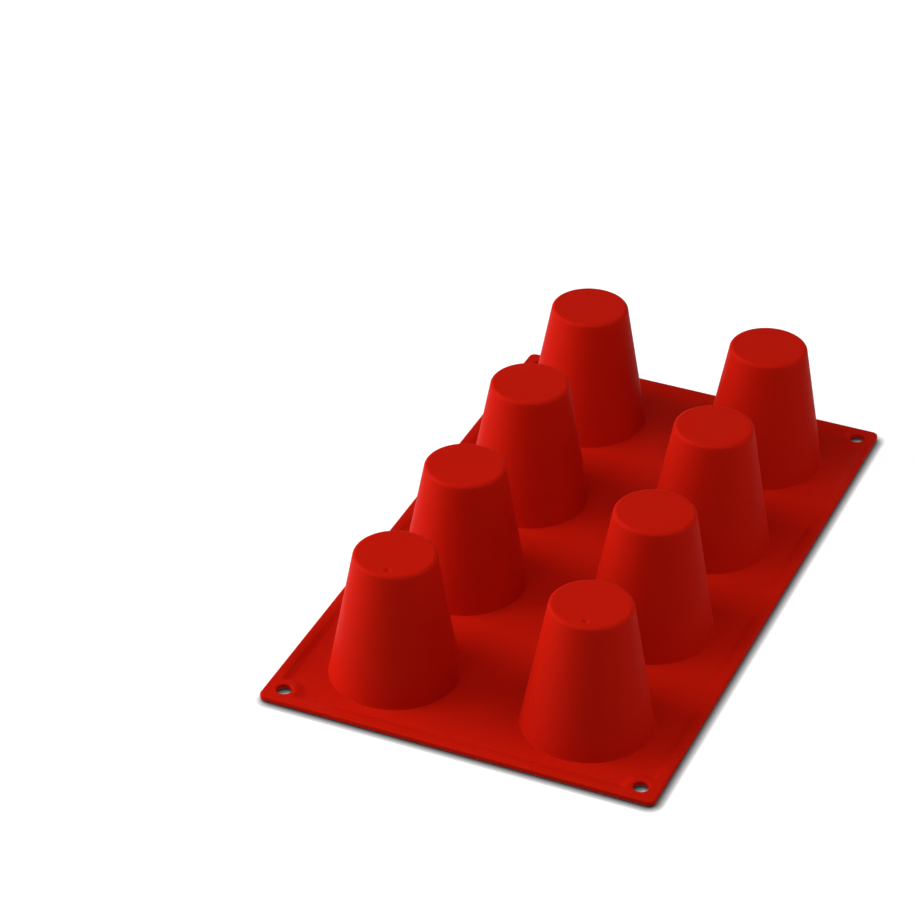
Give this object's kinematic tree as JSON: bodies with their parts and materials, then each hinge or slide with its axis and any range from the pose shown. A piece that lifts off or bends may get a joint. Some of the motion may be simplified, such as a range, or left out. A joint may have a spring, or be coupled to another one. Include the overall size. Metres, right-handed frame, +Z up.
{
  "type": "baba mould",
  "caption": "Flexible silicone baking mat with two rows of tapered baba cups, a thick rim and hanging eyelets, lying cups up.",
  "frame": {"origin": "centre of the mat's flat food face, which lies on the table", "axes": "+X along the mat, from column 1 to column 4; +Y across it, towards row a; +Z up, out of the closed ends of the cups"},
  "size_m": [0.3, 0.175, 0.061],
  "materials": {
    "silicone": "satin"
  },
  "bodies": {
    "column_1": {"mat_panel_1": "silicone", "cup_wall_1a": "silicone", "side_rim_1a": "silicone", "cup_wall_1b": "silicone", "side_rim_1b": "silicone", "end_rim_1": "silicone", "eyelet_1a": "silicone", "eyelet_1b": "silicone"},
    "column_2": {"mat_panel_2": "silicone", "cup_wall_2a": "silicone", "side_rim_2a": "silicone", "cup_wall_2b": "silicone", "side_rim_2b": "silicone", "flex_web_1_2": "silicone", "flex_web_2_3": "silicone"},
    "column_3": {"mat_panel_3": "silicone", "cup_wall_3a": "silicone", "side_rim_3a": "silicone", "cup_wall_3b": "silicone", "side_rim_3b": "silicone", "flex_web_3_4": "silicone"},
    "column_4": {"mat_panel_4": "silicone", "cup_wall_4a": "silicone", "side_rim_4a": "silicone", "cup_wall_4b": "silicone", "side_rim_4b": "silicone", "end_rim_4": "silicone", "eyelet_4a": "silicone", "eyelet_4b": "silicone"},
    "cup_end_1a": {"cup_base_1a": "silicone"},
    "cup_end_1b": {"cup_base_1b": "silicone"},
    "cup_end_2a": {"cup_base_2a": "silicone"},
    "cup_end_2b": {"cup_base_2b": "silicone"},
    "cup_end_3a": {"cup_base_3a": "silicone"},
    "cup_end_3b": {"cup_base_3b": "silicone"},
    "cup_end_4a": {"cup_base_4a": "silicone"},
    "cup_end_4b": {"cup_base_4b": "silicone"}
  },
  "joints": [
    {"name": "web_1_2_bend", "type": "hinge", "parent": "column_2", "child": "column_1", "pos_m": [-0.073, 0, 0.0007], "axis": [0, 1, 0], "range_deg": [-30, 30], "stiffness_Nm_per_rad": 0.015, "deforming": ["flex_web_1_2"]},
    {"name": "web_2_3_bend", "type": "hinge", "parent": "column_2", "child": "column_3", "pos_m": [0, 0, 0.0007], "axis": [0, -1, 0], "range_deg": [-30, 30], "stiffness_Nm_per_rad": 0.015, "deforming": ["flex_web_2_3"]},
    {"name": "web_3_4_bend", "type": "hinge", "parent": "column_3", "child": "column_4", "pos_m": [0.073, 0, 0.0007], "axis": [0, -1, 0], "range_deg": [-30, 30], "stiffness_Nm_per_rad": 0.015, "deforming": ["flex_web_3_4"]},
    {"name": "cup_1a_press", "type": "slide", "parent": "column_1", "child": "cup_end_1a", "axis": [0, 0, -1], "range_m": [0, 0.04], "stiffness_N_per_m": 150},
    {"name": "cup_1b_press", "type": "slide", "parent": "column_1", "child": "cup_end_1b", "axis": [0, 0, -1], "range_m": [0, 0.04], "stiffness_N_per_m": 150},
    {"name": "cup_2a_press", "type": "slide", "parent": "column_2", "child": "cup_end_2a", "axis": [0, 0, -1], "range_m": [0, 0.04], "stiffness_N_per_m": 150},
    {"name": "cup_2b_press", "type": "slide", "parent": "column_2", "child": "cup_end_2b", "axis": [0, 0, -1], "range_m": [0, 0.04], "stiffness_N_per_m": 150},
    {"name": "cup_3a_press", "type": "slide", "parent": "column_3", "child": "cup_end_3a", "axis": [0, 0, -1], "range_m": [0, 0.04], "stiffness_N_per_m": 150},
    {"name": "cup_3b_press", "type": "slide", "parent": "column_3", "child": "cup_end_3b", "axis": [0, 0, -1], "range_m": [0, 0.04], "stiffness_N_per_m": 150},
    {"name": "cup_4a_press", "type": "slide", "parent": "column_4", "child": "cup_end_4a", "axis": [0, 0, -1], "range_m": [0, 0.04], "stiffness_N_per_m": 150},
    {"name": "cup_4b_press", "type": "slide", "parent": "column_4", "child": "cup_end_4b", "axis": [0, 0, -1], "range_m": [0, 0.04], "stiffness_N_per_m": 150}
  ]
}
